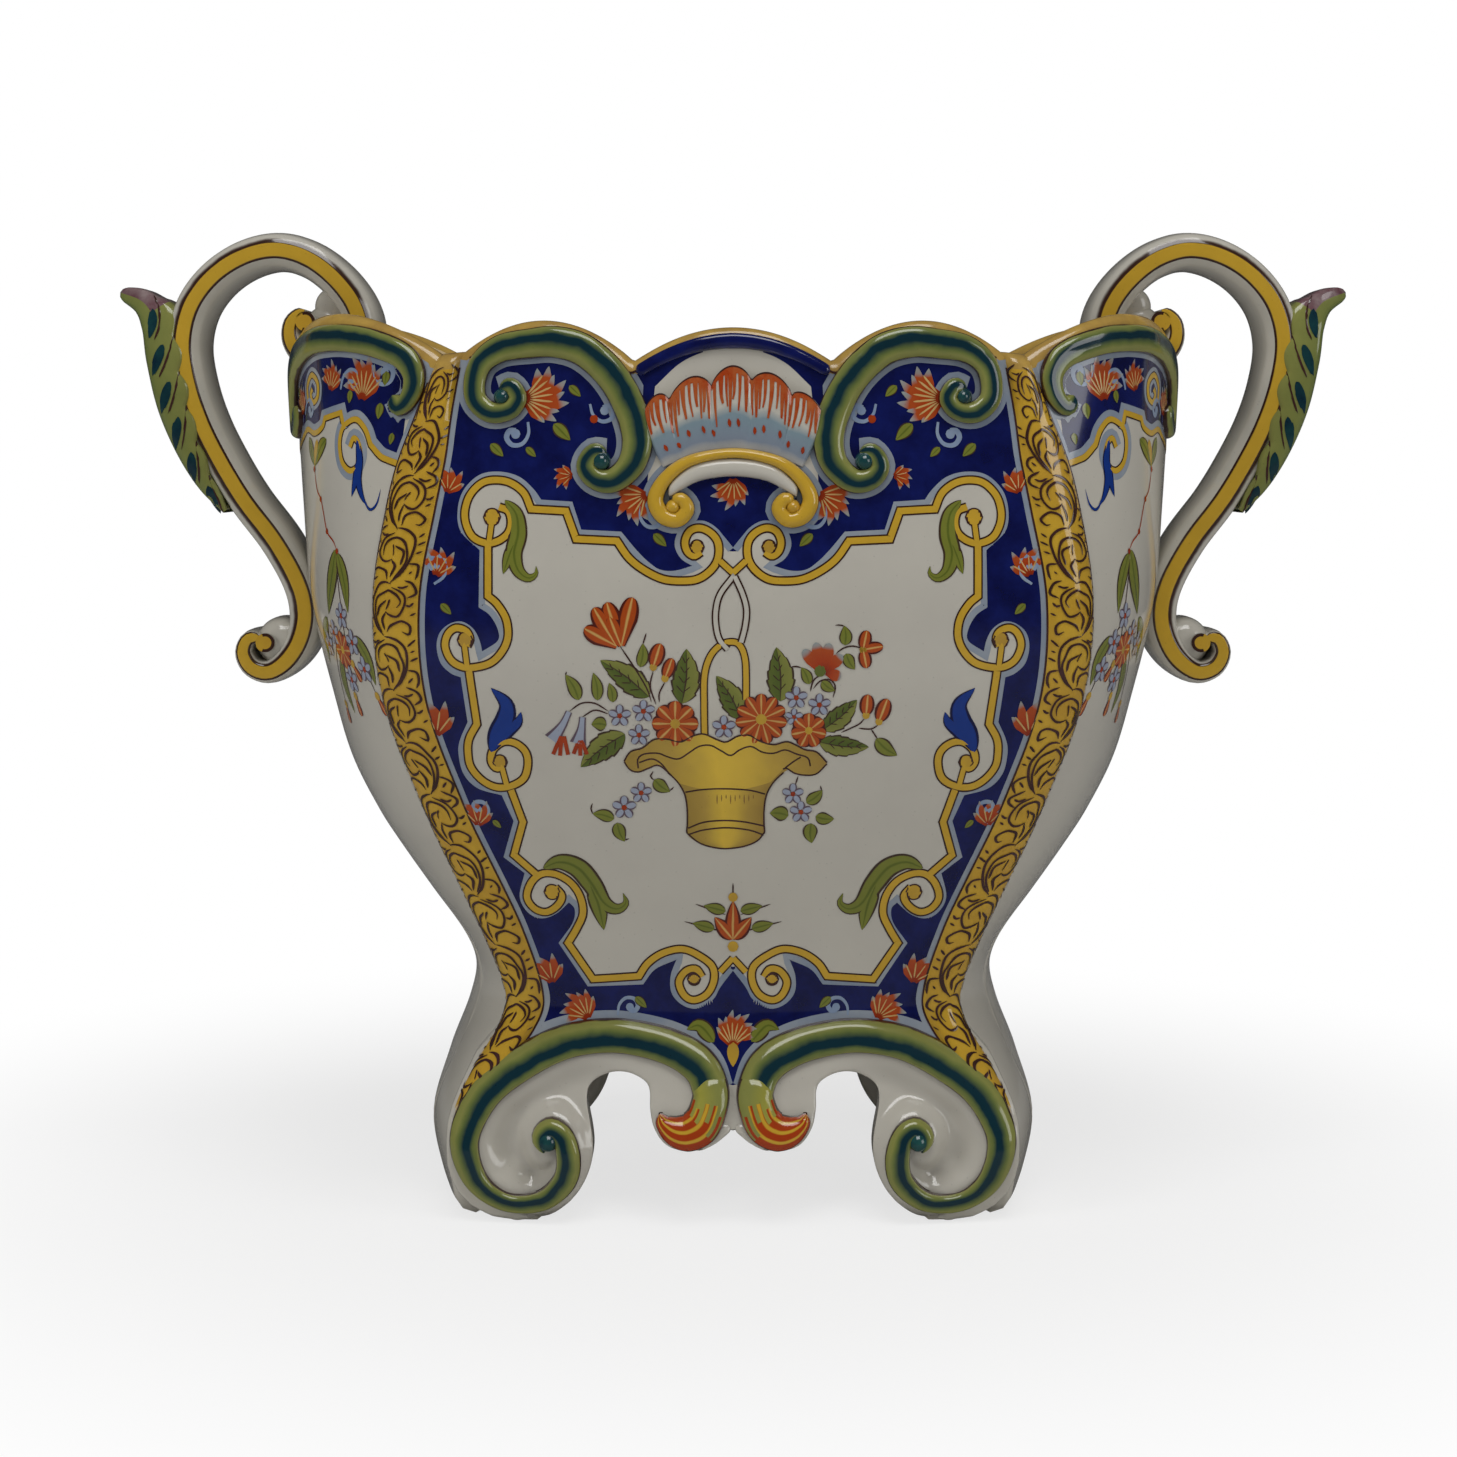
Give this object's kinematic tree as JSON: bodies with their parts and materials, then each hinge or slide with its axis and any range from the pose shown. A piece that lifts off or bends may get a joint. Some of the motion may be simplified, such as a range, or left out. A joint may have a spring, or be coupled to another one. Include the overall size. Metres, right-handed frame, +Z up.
{
  "type": "footed two-handled jardiniere",
  "caption": "Oblong bombe earthenware jardiniere with scalloped rim, corner bands, scroll feet, applied scrolls and two strap handles.",
  "frame": {"origin": "middle of the footprint, on the surface that the feet stand on", "axes": "+X to the right handle, front towards -Y, +Z up"},
  "size_m": [0.3554, 0.1608, 0.2682],
  "materials": {
    "white_glaze": "glossy tin glaze, greyish cream, with painted in-glaze decoration",
    "ochre_enamel": "glossy ochre yellow in-glaze colour with manganese brown line work",
    "green_enamel": "glossy olive green in-glaze colour with a dark blue-green centre stripe",
    "terracotta_enamel": "glossy orange-red in-glaze colour"
  },
  "bodies": {
    "root": {"wall_front": "white_glaze", "wall_back": "white_glaze", "wall_right": "white_glaze", "wall_left": "white_glaze", "floor_slab": "white_glaze", "leg_front_right": "white_glaze", "leg_front_left": "white_glaze", "leg_back_right": "white_glaze", "leg_back_left": "white_glaze", "end_apron_right": "white_glaze", "end_apron_left": "white_glaze", "corner_band_front_right": "ochre_enamel", "corner_band_front_left": "ochre_enamel", "corner_band_back_right": "ochre_enamel", "corner_band_back_left": "ochre_enamel", "arch_moulding_front": "ochre_enamel", "arch_moulding_back": "ochre_enamel", "handle_right": "ochre_enamel", "handle_left": "ochre_enamel", "foot_scroll_front_right": "green_enamel", "foot_scroll_front_left": "green_enamel", "foot_scroll_back_right": "green_enamel", "foot_scroll_back_left": "green_enamel", "rim_scroll_front_right": "green_enamel", "rim_scroll_front_left": "green_enamel", "rim_scroll_back_right": "green_enamel", "rim_scroll_back_left": "green_enamel", "end_scroll_front_right": "green_enamel", "end_scroll_front_left": "green_enamel", "end_scroll_back_right": "green_enamel", "end_scroll_back_left": "green_enamel", "handle_leaf_right": "green_enamel", "handle_leaf_left": "green_enamel", "foot_leaf_front_right": "terracotta_enamel", "foot_leaf_front_left": "terracotta_enamel", "foot_leaf_back_right": "terracotta_enamel", "foot_leaf_back_left": "terracotta_enamel", "shell_front": "terracotta_enamel", "shell_back": "terracotta_enamel"}
  },
  "joints": []
}
